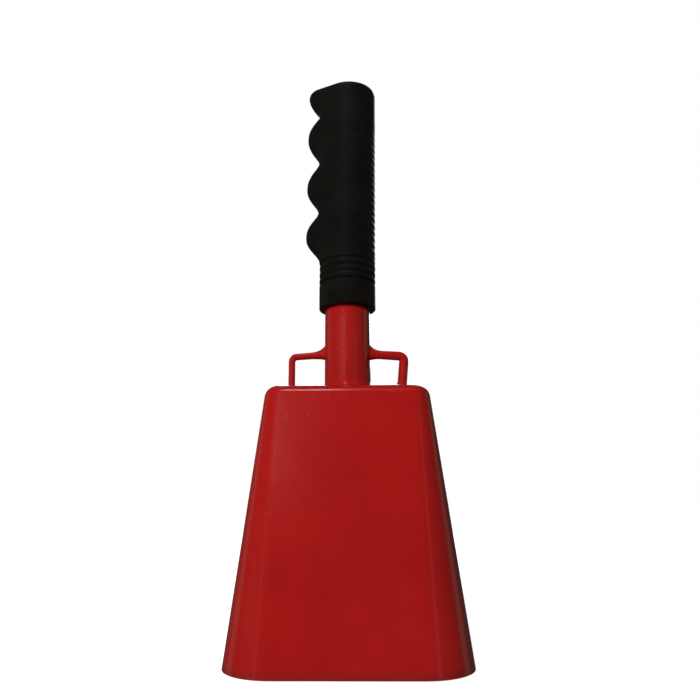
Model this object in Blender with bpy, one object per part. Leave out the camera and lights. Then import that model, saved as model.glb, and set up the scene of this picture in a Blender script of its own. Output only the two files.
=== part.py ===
"""Handled cowbell: a sheet steel bell, a tubular stem, a wire strap loop, a moulded grip and a clapper.

Metres, +Z up the handle, +X across the wide faces. The finger grooves face -X.
The origin is the centre of the bell's mouth.
"""

from math import cos, pi, radians, sin, sqrt

import bmesh
import bpy
from mathutils import Vector

MM = 0.001
GAP = 0.3 * MM

BELL_HEIGHT = 104.0 * MM
BELL_WALL = 1.2 * MM
MOUTH_HALF = (46.5 * MM, 26.0 * MM)
TOP_HALF = (32.2 * MM, 17.0 * MM)
MOUTH_CORNER = 20.0 * MM
TOP_CORNER = 6.5 * MM
TOP_EDGE = 4.0 * MM
CORNER_STEPS = 7
SEAM_HALF = 0.5 * MM

STEM_RADIUS = 9.525 * MM
STEM_WALL = 1.2 * MM
STEM_END = 232.0 * MM
STEM_SIDES = 40

LOOP_RADIUS = 1.4 * MM
LOOP_THICK = 1.4
LOOP_BAR_Z = 119.3 * MM
LOOP_DROOP = 1.0 * MM
LOOP_LEFT_X = -23.3 * MM
LOOP_RIGHT_X = 23.6 * MM
LOOP_BEND = 2.2 * MM
SHALLOW_TURN = radians(20)
LOOP_LEAN = 1.3 * MM
BAR_HOLE = 2.4 * MM

WELD_WIDTH = 2.7 * MM
WELD_EDGE = 0.25 * MM
STEM_WELD_LEG = 5.0 * MM
STEM_WELD_HALF = 1.4 * MM

GRIP_BOTTOM = 138.4 * MM
GRIP_TOP = 243.5 * MM
GRIP_RADIUS = 12.0 * MM
NOSE_REACH = 18.3 * MM
NOSE_RADIUS = 6.5 * MM
FINGER_PEAKS = (171.4 * MM, 194.4 * MM, 218.9 * MM, 241.0 * MM)
VALLEY_REACH = 12.9 * MM
LAST_FLANK = 159.5 * MM
CUFF_TOP = 149.5 * MM
GRIP_LEAN = 0.011
RING_PITCH = 3.0 * MM
RING_COUNT = 4
RING_DEPTH = 0.5 * MM
CROWN_HEIGHT = 4.0 * MM
CROWN_INSET = (3.5 * MM, 6.5 * MM)
GRIP_SIDES = 32
GRIP_STEP = 2.4 * MM

HANGER_Z = 92.0 * MM
HANGER_HALF = 6.0 * MM
HANGER_RADIUS = 1.5 * MM
LINK_RADIUS = 1.25 * MM
LINK_BEND = 3.6 * MM
LINK_BOTTOM_Z = 84.0 * MM
ROD_RADIUS = 1.6 * MM
EYE_BEND = 3.6 * MM
BALL_RADIUS = 9.5 * MM
BALL_Z = 17.0 * MM


def clear_scene():
    for obj in list(bpy.data.objects):
        bpy.data.objects.remove(obj, do_unlink=True)


def paint(name, color, roughness, metallic=0.0):
    material = bpy.data.materials.new(name)
    material.use_nodes = True
    shader = material.node_tree.nodes["Principled BSDF"]
    shader.inputs["Base Color"].default_value = (*color, 1.0)
    shader.inputs["Roughness"].default_value = roughness
    shader.inputs["Metallic"].default_value = metallic
    return material


def link_object(name, data, material=None):
    obj = bpy.data.objects.new(name, data)
    bpy.context.scene.collection.objects.link(obj)
    if material:
        data.materials.append(material)
    return obj


def lofted(name, rings, material, caps=True, smooth=True):
    """One closed body through rings of equal length: capped, or closed on itself when caps is False."""
    shape = bmesh.new()
    loops = [[shape.verts.new(point) for point in outline] for outline in rings]
    pairs = list(zip(loops, loops[1:]))
    if not caps:
        pairs.append((loops[-1], loops[0]))
    for lower, upper in pairs:
        for i in range(len(lower)):
            j = (i + 1) % len(lower)
            shape.faces.new((lower[i], lower[j], upper[j], upper[i]))
    if caps:
        shape.faces.new(loops[0][::-1])
        shape.faces.new(loops[-1])
    bmesh.ops.recalc_face_normals(shape, faces=shape.faces)
    mesh = bpy.data.meshes.new(name)
    shape.to_mesh(mesh)
    shape.free()
    if smooth:
        mesh.shade_smooth()
        mesh.set_sharp_from_angle(angle=radians(40))
    return link_object(name, mesh, material)


def hidden(obj):
    obj.hide_render = True
    obj.display_type = "WIRE"
    return obj


def block(name, low, high):
    corners = [(low[0], low[1]), (high[0], low[1]), (high[0], high[1]), (low[0], high[1])]
    rings = [[(x, y, z) for x, y in corners] for z in (low[2], high[2])]
    return hidden(lofted(name, rings, None, smooth=False))


def boolean(obj, other, operation):
    modifier = obj.modifiers.new(f"{operation.lower()} {other.name}", "BOOLEAN")
    modifier.operation = operation
    modifier.object = other


def ring(radius, z, sides, center=(0.0, 0.0)):
    turns = [2 * pi * i / sides for i in range(sides)]
    return [(center[0] + radius * cos(t), center[1] + radius * sin(t), z) for t in turns]


def revolved(name, profile, material, sides, center=(0.0, 0.0)):
    """A ring with a hole, from a closed profile of (radius, height) points."""
    rings = [ring(radius, z, sides, center) for radius, z in profile]
    return lofted(name, rings, material, caps=False)


def rounded_section(half_x, half_y, corner, z):
    points = []
    for quarter, (sx, sy) in enumerate(((1, 1), (-1, 1), (-1, -1), (1, -1))):
        for step in range(CORNER_STEPS + 1):
            turn = pi / 2 * (quarter + step / CORNER_STEPS)
            x = sx * (half_x - corner) + corner * cos(turn)
            y = sy * (half_y - corner) + corner * sin(turn)
            points.append((x, y, z))
    return points


def bell_section(z, inset):
    """The bell's outline at a height, moved inwards by inset."""
    share = z / BELL_HEIGHT
    half_x, half_y = (m + (t - m) * share for m, t in zip(MOUTH_HALF, TOP_HALF))
    corner = MOUTH_CORNER + (TOP_CORNER - MOUTH_CORNER) * share
    return rounded_section(half_x - inset, half_y - inset, corner - inset, z)


def bell_skin(inset, edge, top):
    """Rings from the mouth up the wall and over the rounded top edge."""
    rings = [bell_section(0.0, inset)]
    for step in range(5):
        turn = pi / 2 * step / 4
        z = top - edge + edge * sin(turn)
        rings.append(bell_section(z, inset + edge * (1 - cos(turn))))
    return rings


def bell_cup():
    outer = bell_skin(0.0, TOP_EDGE, BELL_HEIGHT)
    inner = bell_skin(BELL_WALL, TOP_EDGE - BELL_WALL, BELL_HEIGHT - BELL_WALL)
    return hidden(lofted("bell_cup", inner[::-1] + outer, None))


def bell_shells(material):
    """The two halves and the U-shaped weld between them, all cut from one cup."""
    cup = bell_cup()
    wide = 0.1
    edge = SEAM_HALF + GAP
    cuts = {
        "front_shell": (-wide, -edge),
        "back_shell": (edge, wide),
        "seam_weld": (-SEAM_HALF, SEAM_HALF),
    }
    for name, (low, high) in cuts.items():
        obj = link_object(name, cup.data.copy(), material)
        region = block(f"{name}_region", (-wide, low, -wide), (wide, high, 2 * wide))
        boolean(obj, region, "INTERSECT")


def bent_path(corners, bend, steps=4):
    """The corners joined by straight runs, each turned on an arc unless its turn is shallow."""
    points = [Vector(corners[0])]
    for before, at, after in zip(corners, corners[1:], corners[2:]):
        before, at, after = Vector(before), Vector(at), Vector(after)
        back = (before - at).normalized()
        ahead = (after - at).normalized()
        half = back.angle(ahead) / 2
        if pi - 2 * half < SHALLOW_TURN:
            points.append(at)
            continue
        center = at + (back + ahead).normalized() * (bend / sin(half))
        start = at + back * (bend * cos(half) / sin(half)) - center
        end = at + ahead * (bend * cos(half) / sin(half)) - center
        arc = [start.lerp(end, i / steps).normalized() * bend for i in range(steps + 1)]
        points += [center + spoke for spoke in arc]
    points.append(Vector(corners[-1]))
    return points


def wire(name, points, radius, material, thickness=None, cyclic=False):
    curve = bpy.data.curves.new(name, "CURVE")
    curve.dimensions = "3D"
    curve.bevel_depth = radius
    curve.bevel_resolution = 2
    curve.use_fill_caps = not cyclic
    spline = curve.splines.new("POLY")
    spline.points.add(len(points) - 1)
    spline.use_cyclic_u = cyclic
    for index, point in enumerate(points):
        spline.points[index].co = (*point, 1.0)
        if thickness:
            spline.points[index].radius = thickness(point[0])
    return link_object(name, curve, material)


def strap_loop(material):
    """One wire staple over the bell top. It thickens from its left leg to its right leg."""
    foot = BELL_HEIGHT + GAP
    shoulder = LOOP_BAR_Z - LOOP_DROOP
    corners = [
        (LOOP_LEFT_X, 0, foot),
        (LOOP_LEFT_X, 0, shoulder),
        (-STEM_RADIUS, 0, LOOP_BAR_Z),
        (STEM_RADIUS, 0, LOOP_BAR_Z),
        (LOOP_RIGHT_X, 0, shoulder),
        (LOOP_RIGHT_X - LOOP_LEAN, 0, foot),
    ]
    span = LOOP_RIGHT_X - LOOP_LEFT_X

    def thickness(x):
        return 1 + (LOOP_THICK - 1) * (x - LOOP_LEFT_X) / span

    wire("strap_loop", bent_path(corners, LOOP_BEND), LOOP_RADIUS, material, thickness)


def stem_tube(material):
    inner = STEM_RADIUS - STEM_WALL
    low = BELL_HEIGHT + GAP
    profile = [(STEM_RADIUS, low), (STEM_RADIUS, STEM_END), (inner, STEM_END), (inner, low)]
    tube = revolved("stem_tube", profile, material, STEM_SIDES)
    reach = 2 * STEM_RADIUS
    turns = [2 * pi * i / 16 for i in range(16)]
    rings = [
        [(x, BAR_HOLE * cos(t), LOOP_BAR_Z + BAR_HOLE * sin(t)) for t in turns]
        for x in (-reach, reach)
    ]
    boolean(tube, hidden(lofted("bar_hole", rings, None)), "DIFFERENCE")


def fillet_profile(inner, width, base, steps=4):
    """A concave fillet between a vertical wall at inner and a floor at base."""
    points = [(inner, base), (inner + width + WELD_EDGE, base)]
    for step in range(steps + 1):
        turn = pi / 2 * step / steps
        out = width * (1 - sin(turn)) + WELD_EDGE
        up = width * (1 - cos(turn)) + WELD_EDGE
        points.append((inner + out, base + up))
    points.append((inner, base + width + WELD_EDGE))
    return points


def round_weld(name, radius, center_x, material):
    profile = fillet_profile(radius + GAP, WELD_WIDTH, BELL_HEIGHT + GAP)
    revolved(name, profile, material, 28, (center_x, 0.0))


def loop_stem_weld(name, side, material):
    """A web of weld in the corner above the strap loop's bar, against the stem."""
    thick = LOOP_RADIUS * (LOOP_THICK if side > 0 else 1.12)
    base = LOOP_BAR_Z + thick + GAP
    profile = fillet_profile(STEM_RADIUS + GAP, STEM_WELD_LEG, base)
    rings = [[(side * x, y, z) for x, z in profile] for y in (-STEM_WELD_HALF, STEM_WELD_HALF)]
    lofted(name, rings, material)


def finger_reach(z):
    """How far the finger side may stand out at a height: a smooth wave from peak to peak."""
    if z >= FINGER_PEAKS[-1]:
        return NOSE_REACH
    if z <= LAST_FLANK:
        return GRIP_RADIUS
    if z <= FINGER_PEAKS[0]:
        share = (z - LAST_FLANK) / (FINGER_PEAKS[0] - LAST_FLANK)
        return GRIP_RADIUS + (NOSE_REACH - GRIP_RADIUS) * (1 - cos(pi * share)) / 2
    for low, high in zip(FINGER_PEAKS, FINGER_PEAKS[1:]):
        if low <= z <= high:
            share = (z - low) / (high - low)
            return VALLEY_REACH + (NOSE_REACH - VALLEY_REACH) * (1 + cos(2 * pi * share)) / 2
    return GRIP_RADIUS


def egg_reach(turn):
    """The full outline: a round body and a smaller round nose towards -X, joined by tangents."""
    offset = NOSE_REACH - NOSE_RADIUS
    tilt = (GRIP_RADIUS - NOSE_RADIUS) / offset
    away = -cos(turn)
    if away <= tilt:
        return GRIP_RADIUS
    touch_x = offset + NOSE_RADIUS * tilt
    touch_y = NOSE_RADIUS * sqrt(1 - tilt**2)
    if abs(sin(turn)) * touch_x < away * touch_y:
        return offset * away + sqrt(max(NOSE_RADIUS**2 - (offset * sin(turn)) ** 2, 0.0))
    return GRIP_RADIUS / (tilt * away + sqrt(1 - tilt**2) * abs(sin(turn)))


def ring_groove(z):
    for index in range(RING_COUNT):
        if abs(z - CUFF_TOP - index * RING_PITCH) < 0.05 * MM:
            return RING_DEPTH
    return 0.0


def grip_ring(z, inset=(0.0, 0.0)):
    points = []
    for i in range(GRIP_SIDES):
        turn = 2 * pi * i / GRIP_SIDES
        reach = min(egg_reach(turn), max(finger_reach(z), GRIP_RADIUS)) - ring_groove(z)
        x = reach * cos(turn)
        y = reach * sin(turn)
        x *= 1 - inset[0] / GRIP_RADIUS
        y *= 1 - inset[1] / GRIP_RADIUS
        points.append((x + GRIP_LEAN * max(z - CUFF_TOP, 0.0), y, z))
    return points


def crown_ring(z, inset):
    """A crown ring: the outline of the crown's foot, drawn in and lifted to z."""
    return [(x, y, z) for x, y, _ in grip_ring(GRIP_TOP - CROWN_HEIGHT, inset)]


def grip_heights():
    """Heights of the outer rings: three round each groove, then even steps to the crown."""
    heights = [GRIP_BOTTOM]
    for index in range(RING_COUNT):
        at = CUFF_TOP + index * RING_PITCH
        heights += [at - 0.6 * MM, at, at + 0.6 * MM]
    low = heights[-1]
    high = GRIP_TOP - CROWN_HEIGHT
    steps = round((high - low) / GRIP_STEP)
    return heights + [low + (high - low) * i / steps for i in range(1, steps + 1)]


def finger_grip(material):
    """A closed sleeve: up the outside, over the crown, and cut by a blind bore for the stem."""
    rings = [grip_ring(z) for z in grip_heights()]
    for step in range(1, 5):
        turn = pi / 2 * step / 4
        inset = tuple(amount * (1 - cos(turn)) for amount in CROWN_INSET)
        rings.append(crown_ring(GRIP_TOP - CROWN_HEIGHT + CROWN_HEIGHT * sin(turn), inset))
    grip = lofted("finger_grip", rings, material)
    bore = [ring(STEM_RADIUS + GAP, z, STEM_SIDES) for z in (GRIP_BOTTOM - MM, STEM_END + GAP)]
    boolean(grip, hidden(lofted("grip_bore", bore, None)), "DIFFERENCE")


def clapper_hanger(material):
    foot = BELL_HEIGHT - BELL_WALL - GAP
    corners = [
        (-HANGER_HALF, 0, foot),
        (-HANGER_HALF, 0, HANGER_Z),
        (HANGER_HALF, 0, HANGER_Z),
        (HANGER_HALF, 0, foot),
    ]
    wire("clapper_hanger", bent_path(corners, 2 * MM), HANGER_RADIUS, material)


def clapper_link(material):
    """An oval wire link round the hanger's bar, with the rod's eye hanging in its lower bend."""
    top = HANGER_Z + HANGER_RADIUS + GAP + LINK_RADIUS - LINK_BEND
    bottom = LINK_BOTTOM_Z + LINK_BEND
    turns = [pi * i / 8 for i in range(9)]
    points = [(0, LINK_BEND * cos(t), top + LINK_BEND * sin(t)) for t in turns]
    points += [(0, -LINK_BEND * cos(t), bottom - LINK_BEND * sin(t)) for t in turns]
    return wire("clapper_link", points, LINK_RADIUS, material, cyclic=True)


def clapper_rod(material):
    """Round the eye almost once, then straight down into the ball."""
    center_z = LINK_BOTTOM_Z + LINK_RADIUS + GAP + ROD_RADIUS - EYE_BEND
    turns = [radians(-30 + 300 * i / 20) for i in range(21)]
    points = [(EYE_BEND * cos(t), 0, center_z + EYE_BEND * sin(t)) for t in turns]
    points = points[:-1] + [(0, 0, center_z - 1.25 * EYE_BEND), (0, 0, BALL_Z)]
    return wire("clapper_rod", points, ROD_RADIUS, material)


def clapper_ball(material):
    """A ball with a blind bore from its top, for the rod."""
    bore = ROD_RADIUS + GAP
    start = sqrt(BALL_RADIUS**2 - bore**2)
    rings = [ring(bore, BALL_Z - GAP - MM, 24), ring(bore, BALL_Z + start, 24)]
    for step in range(1, 12):
        turn = pi / 2 - 0.2 - (pi - 0.3) * step / 11
        rings.append(ring(BALL_RADIUS * cos(turn), BALL_Z + BALL_RADIUS * sin(turn), 24))
    return lofted("clapper_ball", rings, material)


def joint_axis(name, z):
    empty = link_object(name, None)
    empty.location = (0, 0, z)
    return empty


def hang(obj, empty):
    """Parents a piece to its joint's empty without moving it."""
    bpy.context.view_layer.update()
    obj.parent = empty
    obj.matrix_parent_inverse = empty.matrix_world.inverted()


def build():
    clear_scene()
    red = paint("red_enamel", (0.36, 0.008, 0.006), 0.16)
    black = paint("black_vinyl", (0.008, 0.008, 0.007), 0.5)
    steel = paint("clapper_steel", (0.45, 0.44, 0.42), 0.35, 1.0)
    bell_shells(red)
    stem_tube(red)
    strap_loop(red)
    round_weld("stem_base_weld", STEM_RADIUS, 0.0, red)
    round_weld("loop_foot_weld_left", LOOP_RADIUS, LOOP_LEFT_X, red)
    round_weld("loop_foot_weld_right", LOOP_RADIUS * LOOP_THICK, LOOP_RIGHT_X - LOOP_LEAN, red)
    loop_stem_weld("loop_stem_weld_left", -1, red)
    loop_stem_weld("loop_stem_weld_right", 1, red)
    finger_grip(black)
    clapper_hanger(steel)
    link_axis = joint_axis("link_axis", HANGER_Z)
    clapper_axis = joint_axis("clapper_axis", LINK_BOTTOM_Z)
    hang(clapper_axis, link_axis)
    hang(clapper_link(steel), link_axis)
    hang(clapper_rod(steel), clapper_axis)
    hang(clapper_ball(steel), clapper_axis)


build()
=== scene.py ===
from math import cos, exp, pi, radians, sin, sqrt

import bmesh
import bpy
from mathutils import Matrix, Vector


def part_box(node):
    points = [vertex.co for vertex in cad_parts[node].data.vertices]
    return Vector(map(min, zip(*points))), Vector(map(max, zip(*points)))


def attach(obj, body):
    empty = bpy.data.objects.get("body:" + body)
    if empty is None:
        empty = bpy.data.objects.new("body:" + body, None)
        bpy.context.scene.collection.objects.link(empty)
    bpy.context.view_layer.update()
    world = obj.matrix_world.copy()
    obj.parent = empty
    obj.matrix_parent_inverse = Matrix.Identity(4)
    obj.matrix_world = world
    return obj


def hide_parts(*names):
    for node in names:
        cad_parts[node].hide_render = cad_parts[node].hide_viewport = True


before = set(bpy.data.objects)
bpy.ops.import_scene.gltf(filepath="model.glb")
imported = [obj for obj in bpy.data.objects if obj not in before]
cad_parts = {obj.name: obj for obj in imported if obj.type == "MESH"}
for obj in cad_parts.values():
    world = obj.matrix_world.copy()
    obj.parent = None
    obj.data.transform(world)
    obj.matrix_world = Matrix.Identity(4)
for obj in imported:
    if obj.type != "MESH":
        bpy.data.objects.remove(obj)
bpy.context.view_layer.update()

MM = 0.001
GAP = 0.3 * MM

# The bell's driving sizes, as the CAD has them. The heights and the mouth come from its nodes.
FRONT_LOW, FRONT_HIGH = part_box("front_shell")
BELL_HEIGHT = FRONT_HIGH.z
MOUTH_HALF = (FRONT_HIGH.x, -FRONT_LOW.y)
TOP_HALF = (32.2 * MM, 17.0 * MM)
MOUTH_CORNER = 20.0 * MM
TOP_CORNER = 6.5 * MM
TOP_EDGE = 4.0 * MM
BELL_WALL = 1.2 * MM
SHELL_EDGE = 0.8 * MM
LEAST_CORNER = 0.4 * MM
SIDE_STEPS = 6
CORNER_STEPS = 24
FACE_STEPS = 8
WALL_ROWS = 40
EDGE_STEPS = 10
TOP_ROWS = 8
SEAM_WALL_STEPS = 60
SEAM_EDGE_STEPS = 8
SEAM_TOP_STEPS = 20
# The bead's section as (across, outwards) in millimetres: a low crown over a buried root.
BEAD_CROWN = ((-1.2, -0.06), (-0.6, 0.05), (0, 0.1), (0.6, 0.05), (1.2, -0.06))
BEAD_ROOT = ((0.7, -1.1), (-0.7, -1.1))

STEM_LOW, STEM_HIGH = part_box("stem_tube")
STEM_RADIUS = STEM_HIGH.x
LOOP_RADIUS = 1.4 * MM
LOOP_THICK = 1.4
LOOP_BAR_Z = 119.3 * MM
LOOP_DROOP = 1.0 * MM
LOOP_LEFT_X = -23.3 * MM
LOOP_RIGHT_X = 23.6 * MM
LOOP_LEAN = 1.3 * MM
LOOP_BEND = 2.2 * MM
SHALLOW_TURN = radians(20)
BEND_STEPS = 10
WELD_SIDES = 72
WELD_STEPS = 14
WELD_ROOT = 0.4 * MM
WELD_SINK = 0.15 * MM
FLARE_STEPS = 21
FLARE_SIDES = 40
FLARE_REACH = 5.2 * MM
FLARE_ROOT = 0.9 * MM
FLARE_ABOVE = 5.0 * MM
FLARE_BELOW = 1.6 * MM
FLARE_WIDE = 0.9 * MM

GRIP_LOW, GRIP_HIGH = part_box("finger_grip")
GRIP_RADIUS = 12.0 * MM
NOSE_REACH = 18.3 * MM
NOSE_RADIUS = 6.5 * MM
FINGER_PEAKS = (171.4 * MM, 194.4 * MM, 218.9 * MM, 241.0 * MM)
GRIP_LEAN = 0.011
VALLEY_REACH = 12.9 * MM
LAST_FLANK = 159.5 * MM
CUFF_TOP = 149.5 * MM
RING_PITCH = 3.0 * MM
RING_COUNT = 4
CROWN_HEIGHT = 4.0 * MM
CROWN_INSET = (3.5 * MM, 6.5 * MM)
RIB_LOW = 162.0 * MM
RIB_HIGH = 223.5 * MM
RIB_PITCH = 3.05 * MM
RIB_DEPTH = 0.3 * MM
RIB_HALF_ARC = radians(73)
GROOVE_HALF = 0.55 * MM
GRIP_SIDES = 160
GRIP_ROW = 0.33 * MM
CROWN_STEPS = 14
CUFF_LIP = 0.7 * MM
CUFF_LIP_STEPS = 5

HANGER_Z = 92.0 * MM
HANGER_HALF = 6.0 * MM
HANGER_RADIUS = 1.5 * MM
HANGER_BEND = 2.0 * MM
LINK_RADIUS = 1.25 * MM
LINK_BOTTOM_Z = 84.0 * MM
LINK_STEPS = 24
ROD_RADIUS = 1.6 * MM
EYE_STEPS = 60
WIRE_BEND = 3.6 * MM
BALL_RADIUS = 9.5 * MM
BALL_Z = 17.0 * MM
BALL_SIDES = 64
BALL_STEPS = 39
COLLAR_RADIUS = 3.2 * MM


# ---------------------------------------------------------------- materials

def new_material(name):
    material = bpy.data.materials.new(name)
    material.use_nodes = True
    tree = material.node_tree
    return material, tree, tree.nodes["Principled BSDF"]


def noise(tree, scale, detail=3.0, stretch=(1, 1, 1)):
    """Noise in the object's own metres, so scale is in features a metre."""
    place = tree.nodes.new("ShaderNodeTexCoord")
    mapping = tree.nodes.new("ShaderNodeMapping")
    mapping.inputs["Scale"].default_value = stretch
    texture = tree.nodes.new("ShaderNodeTexNoise")
    texture.inputs["Scale"].default_value = scale
    texture.inputs["Detail"].default_value = detail
    tree.links.new(place.outputs["Object"], mapping.inputs["Vector"])
    tree.links.new(mapping.outputs["Vector"], texture.inputs["Vector"])
    return texture.outputs["Fac"]


def ramp(tree, value, stops):
    """Colours by value: stops are (position, colour) pairs."""
    node = tree.nodes.new("ShaderNodeValToRGB")
    while len(node.color_ramp.elements) < len(stops):
        node.color_ramp.elements.new(0.5)
    for element, (position, color) in zip(node.color_ramp.elements, stops):
        element.position = position
        element.color = (*color, 1.0)
    tree.links.new(value, node.inputs["Fac"])
    return node.outputs["Color"]


def spread(tree, value, low, high):
    """Stretches the middle of a noise over low to high."""
    node = tree.nodes.new("ShaderNodeMapRange")
    node.inputs["From Min"].default_value = 0.3
    node.inputs["From Max"].default_value = 0.7
    node.inputs["To Min"].default_value = low
    node.inputs["To Max"].default_value = high
    tree.links.new(value, node.inputs["Value"])
    return node.outputs["Result"]


def bumps(tree, shader, layers):
    """Stacked bumps: layers are (height, strength, distance) from coarse to fine."""
    normal = None
    for height, strength, distance in layers:
        node = tree.nodes.new("ShaderNodeBump")
        node.inputs["Strength"].default_value = strength
        node.inputs["Distance"].default_value = distance
        tree.links.new(height, node.inputs["Height"])
        if normal:
            tree.links.new(normal, node.inputs["Normal"])
        normal = node.outputs["Normal"]
    tree.links.new(normal, shader.inputs["Normal"])


def painted_edge_reflection(tree, color, reflection_color, low, high):
    """Painted edge reflection: mixes towards the given colour on convex edges, between the pointiness values
    low and high.
    """
    geometry = tree.nodes.new("ShaderNodeNewGeometry")
    mask = tree.nodes.new("ShaderNodeMapRange")
    mask.inputs["From Min"].default_value = low
    mask.inputs["From Max"].default_value = high
    mask.inputs["To Max"].default_value = 0.6
    tree.links.new(geometry.outputs["Pointiness"], mask.inputs["Value"])
    mix = tree.nodes.new("ShaderNodeMix")
    mix.data_type = "RGBA"
    mix.inputs["B"].default_value = (*reflection_color, 1.0)
    tree.links.new(mask.outputs["Result"], mix.inputs["Factor"])
    tree.links.new(color, mix.inputs["A"])
    return mix.outputs["Result"]


def red_enamel():
    """Gloss stove enamel: a deep red with faint clouding and orange peel."""
    material, tree, shader = new_material("red_enamel_finish")
    clouds = noise(tree, 38)
    color = ramp(tree, clouds, [(0.3, (0.335, 0.0055, 0.0045)), (0.7, (0.385, 0.0075, 0.006))])
    # Painted reflection: convex edges darkened to a brownish red, standing in for the dark reflections that
    # the paint's edges catch.
    color = painted_edge_reflection(tree, color, (0.2, 0.012, 0.008), 0.56, 0.7)
    tree.links.new(color, shader.inputs["Base Color"])
    tree.links.new(spread(tree, noise(tree, 160), 0.2, 0.29), shader.inputs["Roughness"])
    bumps(tree, shader, [
        (noise(tree, 45, 0.0), 0.06, 0.1 * MM),
        (noise(tree, 700, 0.0), 0.07, 0.02 * MM),
    ])
    shader.inputs["Coat Weight"].default_value = 0.5
    shader.inputs["Coat Roughness"].default_value = 0.07
    return material


def black_vinyl():
    """Moulded vinyl: nearly black, slightly warm, with a fine leathery grain."""
    material, tree, shader = new_material("black_vinyl_finish")
    clouds = noise(tree, 120)
    color = ramp(tree, clouds, [(0.3, (0.0035, 0.0034, 0.0028)), (0.7, (0.006, 0.0055, 0.0044))])
    # Painted sheen: convex edges lightened to a warm grey, standing in for the warm light that the grip's
    # edges reflect.
    color = painted_edge_reflection(tree, color, (0.016, 0.014, 0.01), 0.55, 0.65)
    tree.links.new(color, shader.inputs["Base Color"])
    tree.links.new(spread(tree, noise(tree, 400), 0.4, 0.54), shader.inputs["Roughness"])
    bumps(tree, shader, [
        (noise(tree, 1100, 1.0), 0.1, 0.04 * MM),
        (noise(tree, 3400, 1.0), 0.2, 0.03 * MM),
    ])
    shader.inputs["Specular IOR Level"].default_value = 0.3
    return material


def plated_steel(name, light):
    """Dull zinc plate, drawn lengthwise, with darker rub marks."""
    material, tree, shader = new_material(name)
    marks = noise(tree, 240, 5.0, (1, 1, 0.35))
    dark = tuple(0.55 * c for c in light)
    tree.links.new(ramp(tree, marks, [(0.35, dark), (0.6, light)]), shader.inputs["Base Color"])
    tree.links.new(spread(tree, noise(tree, 600, 4.0), 0.24, 0.46), shader.inputs["Roughness"])
    bumps(tree, shader, [(noise(tree, 1500, 3.0, (1, 1, 0.2)), 0.2, 0.04 * MM)])
    shader.inputs["Metallic"].default_value = 1.0
    return material


# ---------------------------------------------------------------- mesh tools

def shown(obj, body, slot, *nodes):
    """Attaches a finished piece to the body that it rides on and hides the CAD nodes that it stands for; its
    slot argument is not used.
    """
    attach(obj, body)
    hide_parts(*nodes)
    return obj


def mesh_object(name, shape, material):
    """Makes a smooth shaded object of a finished bmesh."""
    mesh = bpy.data.meshes.new(name)
    shape.to_mesh(mesh)
    shape.free()
    mesh.materials.append(material)
    mesh.shade_smooth()
    obj = bpy.data.objects.new(name, mesh)
    bpy.context.scene.collection.objects.link(obj)
    return obj


def lofted(name, rings, material, closed=False, sharp=50):
    """Rings of equal length joined in order: capped at both ends, or closed on themselves."""
    shape = bmesh.new()
    loops = [[shape.verts.new(point) for point in ring] for ring in rings]
    pairs = list(zip(loops, loops[1:]))
    if closed:
        pairs.append((loops[-1], loops[0]))
    for lower, upper in pairs:
        for i in range(len(lower)):
            j = (i + 1) % len(lower)
            shape.faces.new((lower[i], lower[j], upper[j], upper[i]))
    if not closed:
        shape.faces.new(loops[0][::-1])
        shape.faces.new(loops[-1])
    bmesh.ops.recalc_face_normals(shape, faces=shape.faces)
    obj = mesh_object(name, shape, material)
    obj.data.set_sharp_from_angle(angle=radians(sharp))
    return obj


def round_ring(radius, z, sides, center_x=0.0):
    """A level circle of points."""
    turns = [2 * pi * i / sides for i in range(sides)]
    return [(center_x + radius * cos(t), radius * sin(t), z) for t in turns]


# ---------------------------------------------------------------- bell

def half_outline(z, inset, side):
    """Half of the bell's outline at a height, from the +X seam round one wide face to the -X seam."""
    share = z / BELL_HEIGHT
    half_x, half_y = (m + (t - m) * share - inset for m, t in zip(MOUTH_HALF, TOP_HALF))
    corner = max(MOUTH_CORNER + (TOP_CORNER - MOUTH_CORNER) * share - inset, LEAST_CORNER)
    run = half_y - corner - SHELL_EDGE
    quarter = [(half_x, SHELL_EDGE + run * i / SIDE_STEPS) for i in range(SIDE_STEPS)]
    for step in range(CORNER_STEPS + 1):
        turn = pi / 2 * step / CORNER_STEPS
        quarter.append((half_x - corner * (1 - cos(turn)), half_y - corner * (1 - sin(turn))))
    flat = half_x - corner
    quarter += [(flat * (1 - i / FACE_STEPS), half_y) for i in range(1, FACE_STEPS + 1)]
    points = quarter + [(-x, y) for x, y in quarter[-2::-1]]
    return [Vector((x, side * y, z)) for x, y in points]


def half_rows(side):
    """Rows of points up the wall, over the rounded top edge and in to the seam across the top."""
    wall_top = BELL_HEIGHT - TOP_EDGE
    rows = [half_outline(wall_top * i / WALL_ROWS, 0.0, side) for i in range(WALL_ROWS)]
    for step in range(EDGE_STEPS + 1):
        turn = pi / 2 * step / EDGE_STEPS
        z = wall_top + TOP_EDGE * sin(turn)
        rows.append(half_outline(z, TOP_EDGE * (1 - cos(turn)), side))
    last = rows[-1]
    for step in range(1, TOP_ROWS + 1):
        rows.append([Vector((p.x, p.y + (side * SHELL_EDGE - p.y) * step / TOP_ROWS, p.z)) for p in last])
    return rows


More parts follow.
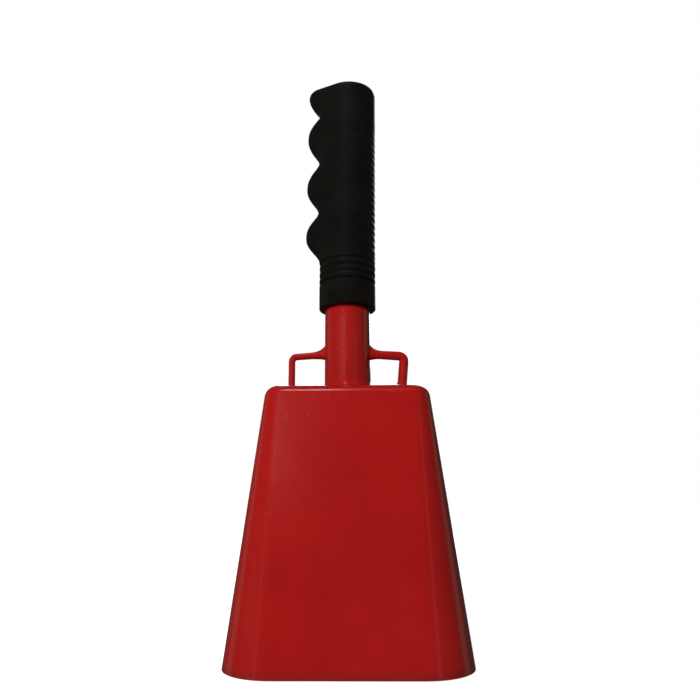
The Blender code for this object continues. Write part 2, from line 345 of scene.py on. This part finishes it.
def bell_half(name, side, material):
    """One pressed half shell: a surface given its sheet thickness inwards, with its edges eased."""
    shape = bmesh.new()
    loops = [[shape.verts.new(point) for point in row] for row in half_rows(side)]
    for lower, upper in zip(loops, loops[1:]):
        for i in range(len(lower) - 1):
            shape.faces.new((lower[i], lower[i + 1], upper[i + 1], upper[i]))
    bmesh.ops.remove_doubles(shape, verts=shape.verts, dist=1e-6)
    bmesh.ops.recalc_face_normals(shape, faces=shape.faces)
    face = min(shape.faces, key=lambda f: side * -f.calc_center_median().y)
    if face.normal.y * side < 0:
        bmesh.ops.reverse_faces(shape, faces=shape.faces)
    obj = mesh_object(name, shape, material)
    sheet = obj.modifiers.new("sheet", "SOLIDIFY")
    sheet.thickness = BELL_WALL
    sheet.offset = -1
    eased = obj.modifiers.new("eased edges", "BEVEL")
    eased.width = 0.3 * MM
    eased.segments = 3
    eased.limit_method = "ANGLE"
    eased.angle_limit = radians(55)
    eased.harden_normals = True
    return obj


def seam_path():
    """Points and outward directions of the seam, up one narrow side, across the top and down the other."""
    wall_top = BELL_HEIGHT - TOP_EDGE
    slope = (MOUTH_HALF[0] - TOP_HALF[0]) / BELL_HEIGHT
    side = []
    for i in range(SEAM_WALL_STEPS):
        x = MOUTH_HALF[0] - slope * wall_top * i / SEAM_WALL_STEPS
        side.append((x, wall_top * i / SEAM_WALL_STEPS, 0.0))
    for step in range(SEAM_EDGE_STEPS + 1):
        turn = pi / 2 * step / SEAM_EDGE_STEPS
        z = wall_top + TOP_EDGE * sin(turn)
        side.append((MOUTH_HALF[0] - slope * z - TOP_EDGE * (1 - cos(turn)), z, turn))
    reach = side[-1][0]
    steps = range(1, SEAM_TOP_STEPS)
    side += [(reach * (1 - i / SEAM_TOP_STEPS), BELL_HEIGHT, pi / 2) for i in steps]
    right = [(Vector((x, 0, z)), Vector((cos(t), 0, sin(t)))) for x, z, t in side]
    left = [(Vector((-p.x, 0, p.z)), Vector((-n.x, 0, n.z))) for p, n in reversed(right)]
    return right + left


def seam_bead(material):
    """The weld along the seam, dressed nearly flush, with a faint ripple left in it."""
    across = Vector((0, 1, 0))
    rings = []
    for index, (point, out) in enumerate(seam_path()):
        ripple = 0.03 * sin(2.3 * index) + 0.02 * sin(0.9 * index)
        ring = []
        for y, depth in BEAD_CROWN + BEAD_ROOT:
            lift = depth + (ripple if depth > 0 else 0)
            ring.append(point + across * y * MM + out * lift * MM)
        rings.append(ring)
    return lofted("seam_bead", rings, material)


# ---------------------------------------------------------------- stem, loop and welds

def stem(material):
    """The tube, with its outer top edge eased."""
    top = STEM_HIGH.z
    inner = STEM_RADIUS - BELL_WALL
    profile = [(STEM_RADIUS, STEM_LOW.z), (STEM_RADIUS, top - 0.3 * MM), (STEM_RADIUS - 0.3 * MM, top)]
    profile += [(inner, top), (inner, STEM_LOW.z)]
    rings = [round_ring(radius, z, 96) for radius, z in profile]
    return lofted("stem_tube_visual", rings, material, closed=True)


def lump(turn, seed):
    """A smooth uneven factor round a weld, from -1 to 1."""
    slow = 0.5 * sin(2 * turn + seed) + 0.3 * sin(5 * turn + 2.1 * seed)
    return slow + 0.2 * sin(9 * turn + 3.7 * seed)


def ring_weld(name, radius, width, center_x, seed, material):
    """A concave fillet round a post on the bell's top, a little uneven as brazing leaves it."""
    base = BELL_HEIGHT - WELD_SINK
    rings = [round_ring(radius - WELD_ROOT, base, WELD_SIDES, center_x)]
    for step in range(WELD_STEPS + 1):
        along = pi / 2 * step / WELD_STEPS
        ring = []
        for i in range(WELD_SIDES):
            turn = 2 * pi * i / WELD_SIDES
            size = width * (1 + 0.14 * lump(turn, seed))
            out = radius + size * (1 - sin(along)) - 0.05 * MM
            up = base + size * (1 - cos(along)) * 1.15
            ring.append((center_x + out * cos(turn), out * sin(turn), up))
        rings.append(ring)
    rings.append(round_ring(radius - WELD_ROOT, rings[-1][0][2], WELD_SIDES, center_x))
    return lofted(name, rings, material, closed=True)


def bar_flare(name, side, thick, material):
    """Braze that swells the loop's bar into the stem, much higher above the bar than below it."""
    start = STEM_RADIUS - FLARE_ROOT
    core = thick * 1.02
    rings = []
    for step in range(FLARE_STEPS + 1):
        share = step / FLARE_STEPS
        swell = 1 - sqrt(1 - (1 - share) ** 2) if share < 1 else 0.0
        x = start + FLARE_REACH * share
        bar = LOOP_BAR_Z - LOOP_DROOP * max(x - STEM_RADIUS, 0) / (LOOP_RIGHT_X - STEM_RADIUS)
        high = core + FLARE_ABOVE * swell
        low = core + FLARE_BELOW * swell
        wide = core + FLARE_WIDE * swell
        ring = []
        for i in range(FLARE_SIDES):
            turn = 2 * pi * i / FLARE_SIDES
            tall = high if sin(turn) > 0 else low
            ring.append((side * x, wide * cos(turn), bar + tall * sin(turn)))
        rings.append(ring)
    return lofted(name, rings, material)


def rounded_path(corners, bend):
    """The corners joined by straight runs, each turned on an arc unless its turn is shallow."""
    points = [Vector(corners[0])]
    for before, at, after in zip(corners, corners[1:], corners[2:]):
        before, at, after = Vector(before), Vector(at), Vector(after)
        back = (before - at).normalized()
        ahead = (after - at).normalized()
        half = back.angle(ahead) / 2
        if pi - 2 * half < SHALLOW_TURN:
            points.append(at)
            continue
        center = at + (back + ahead).normalized() * (bend / sin(half))
        start = at + back * (bend * cos(half) / sin(half)) - center
        end = at + ahead * (bend * cos(half) / sin(half)) - center
        for i in range(BEND_STEPS + 1):
            points.append(center + start.lerp(end, i / BEND_STEPS).normalized() * bend)
    points.append(Vector(corners[-1]))
    return points


def wire(name, points, radius, material, thickness=None, cyclic=False):
    """A round wire along the points. thickness scales its radius by the distance along X."""
    curve = bpy.data.curves.new(name, "CURVE")
    curve.dimensions = "3D"
    curve.bevel_depth = radius
    curve.bevel_resolution = 8
    curve.use_fill_caps = not cyclic
    curve.materials.append(material)
    spline = curve.splines.new("POLY")
    spline.points.add(len(points) - 1)
    spline.use_cyclic_u = cyclic
    spline.use_smooth = True
    for index, point in enumerate(points):
        spline.points[index].co = (*point, 1.0)
        if thickness:
            spline.points[index].radius = thickness(point[0])
    obj = bpy.data.objects.new(name, curve)
    bpy.context.scene.collection.objects.link(obj)
    return obj


def strap_loop(material):
    """The wire staple, thicker towards its right leg."""
    shoulder = LOOP_BAR_Z - LOOP_DROOP
    corners = [
        (LOOP_LEFT_X, 0, BELL_HEIGHT),
        (LOOP_LEFT_X, 0, shoulder),
        (-STEM_RADIUS, 0, LOOP_BAR_Z),
        (STEM_RADIUS, 0, LOOP_BAR_Z),
        (LOOP_RIGHT_X, 0, shoulder),
        (LOOP_RIGHT_X - LOOP_LEAN, 0, BELL_HEIGHT),
    ]
    span = LOOP_RIGHT_X - LOOP_LEFT_X

    def thickness(x):
        return 1 + (LOOP_THICK - 1) * (x - LOOP_LEFT_X) / span

    path = rounded_path(corners, LOOP_BEND)
    return wire("strap_loop_visual", path, LOOP_RADIUS, material, thickness)


# ---------------------------------------------------------------- grip

def finger_reach(z):
    """How far the finger side may stand out at a height: a smooth wave from peak to peak."""
    if z >= FINGER_PEAKS[-1]:
        return NOSE_REACH
    if z <= LAST_FLANK:
        return GRIP_RADIUS
    if z <= FINGER_PEAKS[0]:
        share = (z - LAST_FLANK) / (FINGER_PEAKS[0] - LAST_FLANK)
        return GRIP_RADIUS + (NOSE_REACH - GRIP_RADIUS) * (1 - cos(pi * share)) / 2
    for low, high in zip(FINGER_PEAKS, FINGER_PEAKS[1:]):
        if low <= z <= high:
            share = (z - low) / (high - low)
            return VALLEY_REACH + (NOSE_REACH - VALLEY_REACH) * (1 + cos(2 * pi * share)) / 2
    return GRIP_RADIUS


def egg_reach(turn):
    """The full outline: a round body and a smaller round nose towards -X, joined by tangents."""
    offset = NOSE_REACH - NOSE_RADIUS
    tilt = (GRIP_RADIUS - NOSE_RADIUS) / offset
    away = -cos(turn)
    if away <= tilt:
        return GRIP_RADIUS
    touch_x = offset + NOSE_RADIUS * tilt
    touch_y = NOSE_RADIUS * sqrt(1 - tilt**2)
    if abs(sin(turn)) * touch_x < away * touch_y:
        return offset * away + sqrt(max(NOSE_RADIUS**2 - (offset * sin(turn)) ** 2, 0.0))
    return GRIP_RADIUS / (tilt * away + sqrt(1 - tilt**2) * abs(sin(turn)))


def soft_least(a, b, blend=0.7 * MM):
    """The smaller of two lengths, rounded where they cross."""
    gap = max(blend - abs(a - b), 0.0) / blend
    return min(a, b) - gap * gap * blend / 4


def groove_depth(z):
    """The turned grooves above the cuff: the lowest one is the deepest."""
    depth = 0.0
    for index in range(RING_COUNT):
        away = (z - CUFF_TOP - index * RING_PITCH) / GROOVE_HALF
        depth += (0.75 if index == 0 else 0.55) * MM * exp(-(away**4))
    return depth


def rib_depth(turn, z):
    """Shallow ribs across the palm side, with a crisp end on each."""
    if not RIB_LOW < z < RIB_HIGH:
        return 0.0
    off = abs((turn + pi) % (2 * pi) - pi)
    fade = 1 / (1 + exp(min((off - RIB_HALF_ARC) / radians(1.2), 50)))
    wave = (z - RIB_LOW) / RIB_PITCH
    return fade * RIB_DEPTH * (1 + cos(2 * pi * wave)) / 2


def grip_ring(z, shape_z, inset_x=0.0, inset_y=0.0):
    """The grip's outline at shape_z, drawn in by the insets, placed at z and moved by the lean."""
    wave = max(finger_reach(shape_z), GRIP_RADIUS)
    points = []
    for i in range(GRIP_SIDES):
        turn = 2 * pi * i / GRIP_SIDES
        reach = soft_least(egg_reach(turn), wave + 0.2 * MM) if wave > GRIP_RADIUS else GRIP_RADIUS
        reach -= groove_depth(shape_z) + rib_depth(turn, shape_z)
        x = reach * cos(turn) * (1 - inset_x / GRIP_RADIUS)
        y = reach * sin(turn) * (1 - inset_y / GRIP_RADIUS)
        points.append((x + GRIP_LEAN * max(z - CUFF_TOP, 0.0), y, z))
    return points


def grip(material):
    """A sleeve with a blind bore: down the bore, round the cuff's lip, up the outside and over the crown."""
    bottom, top = GRIP_LOW.z, GRIP_HIGH.z
    crown = top - CROWN_HEIGHT
    bore = STEM_RADIUS + 0.08 * MM
    rings = [round_ring(bore, z, GRIP_SIDES) for z in (STEM_HIGH.z + MM, bottom + 0.4 * MM)]
    rings.append(round_ring(bore + 0.4 * MM, bottom, GRIP_SIDES))
    for step in range(CUFF_LIP_STEPS + 1):
        turn = pi / 2 * step / CUFF_LIP_STEPS
        radius = GRIP_RADIUS - CUFF_LIP * (1 - sin(turn))
        rings.append(round_ring(radius, bottom + CUFF_LIP * (1 - cos(turn)), GRIP_SIDES))
    height = crown - bottom - CUFF_LIP
    rows = round(height / GRIP_ROW)
    for i in range(1, rows + 1):
        z = bottom + CUFF_LIP + height * i / rows
        rings.append(grip_ring(z, z))
    for step in range(1, CROWN_STEPS + 1):
        turn = pi / 2 * step / CROWN_STEPS
        inset = 1 - cos(turn)
        z = crown + CROWN_HEIGHT * sin(turn)
        rings.append(grip_ring(z, crown, CROWN_INSET[0] * inset, CROWN_INSET[1] * inset))
    return lofted("finger_grip_visual", rings, material, sharp=60)


# ---------------------------------------------------------------- clapper

def hanger(material):
    """A wire staple under the bell's top."""
    foot = BELL_HEIGHT - BELL_WALL
    left = [(-HANGER_HALF, 0, foot), (-HANGER_HALF, 0, HANGER_Z)]
    right = [(HANGER_HALF, 0, HANGER_Z), (HANGER_HALF, 0, foot)]
    path = rounded_path(left + right, HANGER_BEND)
    return wire("clapper_hanger_visual", path, HANGER_RADIUS, material)


def link(material):
    """An oval of wire between the hanger's bar and the rod's eye."""
    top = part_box("clapper_link")[1].z - LINK_RADIUS - WIRE_BEND
    bottom = LINK_BOTTOM_Z + WIRE_BEND
    turns = [pi * i / LINK_STEPS for i in range(LINK_STEPS + 1)]
    points = [(0, WIRE_BEND * cos(t), top + WIRE_BEND * sin(t)) for t in turns]
    points += [(0, -WIRE_BEND * cos(t), bottom - WIRE_BEND * sin(t)) for t in turns]
    return wire("clapper_link_visual", points, LINK_RADIUS, material, cyclic=True)


def rod(material):
    """Most of a turn for the eye, then straight down into the ball."""
    center_z = LINK_BOTTOM_Z + LINK_RADIUS + GAP + ROD_RADIUS - WIRE_BEND
    turns = [radians(-30 + 300 * i / EYE_STEPS) for i in range(EYE_STEPS)]
    points = [(WIRE_BEND * cos(t), 0, center_z + WIRE_BEND * sin(t)) for t in turns]
    points += [(0, 0, center_z - 1.25 * WIRE_BEND), (0, 0, BALL_Z)]
    return wire("clapper_rod_visual", points, ROD_RADIUS, material)


def ball(material):
    """A turned ball with a small collar of braze round the rod."""
    top = BALL_Z + sqrt(BALL_RADIUS**2 - COLLAR_RADIUS**2)
    bore = 1.65 * MM
    profile = [
        (bore, BALL_Z),
        (bore, top + 1.2 * MM),
        (2.1 * MM, top + 0.8 * MM),
        (2.6 * MM, top + 0.25 * MM),
    ]
    first = pi / 2 - 0.34
    for step in range(BALL_STEPS + 1):
        turn = first - (first + pi / 2 - 0.03) * step / BALL_STEPS
        profile.append((BALL_RADIUS * cos(turn), BALL_Z + BALL_RADIUS * sin(turn)))
    rings = [round_ring(radius, z, BALL_SIDES) for radius, z in profile]
    return lofted("clapper_ball_visual", rings, material)


# ---------------------------------------------------------------- stage

def area_light(name, place, aim, size, power, color=(1, 1, 1), mirrored=True):
    """A rectangular lamp. One that isn't mirrored lights surfaces without showing in their gloss."""
    data = bpy.data.lights.new(name, "AREA")
    data.shape = "RECTANGLE"
    data.size, data.size_y = size
    data.energy = power
    data.color = color
    obj = bpy.data.objects.new(name, data)
    obj.location = place
    obj.rotation_euler = (Vector(aim) - Vector(place)).to_track_quat("-Z", "Y").to_euler()
    obj.visible_glossy = mirrored
    bpy.context.scene.collection.objects.link(obj)


def world_light():
    """White to look at, dimmer as a light, so the gloss stays deep."""
    world = bpy.data.worlds.new("studio")
    world.use_nodes = True
    bpy.context.scene.world = world
    tree = world.node_tree
    background = tree.nodes["Background"]
    rays = tree.nodes.new("ShaderNodeLightPath")
    level = tree.nodes.new("ShaderNodeMapRange")
    level.inputs["To Min"].default_value = 0.05
    level.inputs["To Max"].default_value = 1.0
    tree.links.new(rays.outputs["Is Camera Ray"], level.inputs["Value"])
    tree.links.new(level.outputs["Result"], background.inputs["Strength"])
    background.inputs["Color"].default_value = (1, 1, 1, 1)


def floor():
    """A pale floor just under the bell that glows a little more with distance, so that it ends in white."""
    under = (0, 0, -0.3 * MM)
    bpy.ops.mesh.primitive_circle_add(vertices=96, radius=6.0, fill_type="NGON", location=under)
    plane = bpy.context.active_object
    plane.name = "floor"
    material, tree, shader = new_material("pale_floor")
    shader.inputs["Base Color"].default_value = (0.9, 0.9, 0.9, 1)
    shader.inputs["Roughness"].default_value = 0.9
    shader.inputs["Specular IOR Level"].default_value = 0.0
    shader.inputs["Emission Color"].default_value = (1, 1, 1, 1)
    place = tree.nodes.new("ShaderNodeTexCoord")
    distance = tree.nodes.new("ShaderNodeVectorMath")
    distance.operation = "LENGTH"
    glow = tree.nodes.new("ShaderNodeMapRange")
    glow.inputs["From Min"].default_value = 0.15
    glow.inputs["From Max"].default_value = 1.2
    glow.inputs["To Min"].default_value = 0.75
    glow.inputs["To Max"].default_value = 1.05
    tree.links.new(place.outputs["Object"], distance.inputs[0])
    tree.links.new(distance.outputs["Value"], glow.inputs["Value"])
    tree.links.new(glow.outputs["Result"], shader.inputs["Emission Strength"])
    plane.data.materials.append(material)
    plane.visible_glossy = False
    plane.visible_diffuse = False


def camera():
    """A close camera below the grip, looking up at about 13 degrees."""
    distance, aside, height = 265.5 * MM, 1.0 * MM, 58.8 * MM
    turned, tilted, rolled = 0.0233, 0.231, -0.0047
    data = bpy.data.cameras.new("camera")
    data.lens = 33.41
    data.sensor_width = 36.0
    data.clip_start = 0.01
    obj = bpy.data.objects.new("camera", data)
    swing = Matrix.Rotation(turned, 4, "Z")
    place = swing @ Matrix.Translation((aside, -distance, height))
    look = Matrix.Rotation(pi / 2 + tilted, 4, "X") @ Matrix.Rotation(rolled, 4, "Z")
    obj.matrix_world = place @ look
    bpy.context.scene.collection.objects.link(obj)
    bpy.context.scene.camera = obj


def studio():
    """White surroundings, a soft key lamp at the front left, one behind, and faint fill and edge lamps."""
    world_light()
    floor()
    camera()
    warm = (1.0, 0.8, 0.55)
    area_light("key", (-0.32, -0.85, 0.42), (0, 0, 0.12), (0.4, 0.4), 9.5, mirrored=False)
    area_light("left_panel", (-0.62, -0.75, 0.15), (0, 0, 0.1), (0.1, 0.9), 0.05)
    area_light("right_panel", (0.6, -0.8, 0.15), (0, 0, 0.1), (0.1, 0.8), 0.05)
    area_light("low_glow", (-0.5, -0.25, 0.04), (0, 0, 0.2), (0.3, 0.06), 0.25, warm, mirrored=False)
    area_light("right_rim", (0.8, 0.25, 0.2), (0, 0, 0.12), (0.3, 0.7), 0.12, warm)
    area_light("left_rim", (-0.8, 0.25, 0.2), (0, 0, 0.12), (0.3, 0.7), 0.1, warm)
    area_light("top_spark", (-0.1, -0.45, 0.95), (0, 0, 0.15), (0.12, 0.12), 0.5)
    area_light("back", (0.1, 0.9, 0.6), (0, 0, 0.1), (0.6, 0.6), 4)


def build():
    red, black = red_enamel(), black_vinyl()
    steel = plated_steel("plated_wire", (0.56, 0.55, 0.52))
    cast = plated_steel("plated_ball", (0.47, 0.46, 0.43))
    paint, bell = "red_enamel", "bell"
    shown(bell_half("front_shell_visual", -1, red), bell, paint, "front_shell")
    shown(bell_half("back_shell_visual", 1, red), bell, paint, "back_shell")
    shown(seam_bead(red), bell, paint, "seam_weld")
    shown(stem(red), bell, paint, "stem_tube")
    shown(strap_loop(red), bell, paint, "strap_loop")
    thick, right_foot = LOOP_RADIUS * LOOP_THICK, LOOP_RIGHT_X - LOOP_LEAN
    stem_fillet = ring_weld("stem_fillet", STEM_RADIUS, 2.9 * MM, 0.0, 1.3, red)
    shown(stem_fillet, bell, paint, "stem_base_weld")
    left_fillet = ring_weld("left_foot_fillet", LOOP_RADIUS, 2.4 * MM, LOOP_LEFT_X, 4.4, red)
    shown(left_fillet, bell, paint, "loop_foot_weld_left")
    right_fillet = ring_weld("right_foot_fillet", thick, 2.7 * MM, right_foot, 2.6, red)
    shown(right_fillet, bell, paint, "loop_foot_weld_right")
    shown(bar_flare("left_flare", -1, LOOP_RADIUS * 1.14, red), bell, paint, "loop_stem_weld_left")
    shown(bar_flare("right_flare", 1, LOOP_RADIUS * 1.3, red), bell, paint, "loop_stem_weld_right")
    shown(grip(black), bell, "black_vinyl", "finger_grip")
    shown(hanger(steel), bell, "clapper_steel", "clapper_hanger")
    shown(link(steel), "link", "clapper_steel", "clapper_link")
    shown(rod(steel), "clapper", "clapper_steel", "clapper_rod")
    shown(ball(cast), "clapper", "clapper_steel", "clapper_ball")
    studio()
    bpy.context.scene.view_settings.view_transform = "Standard"


build()
bpy.context.view_layer.update()
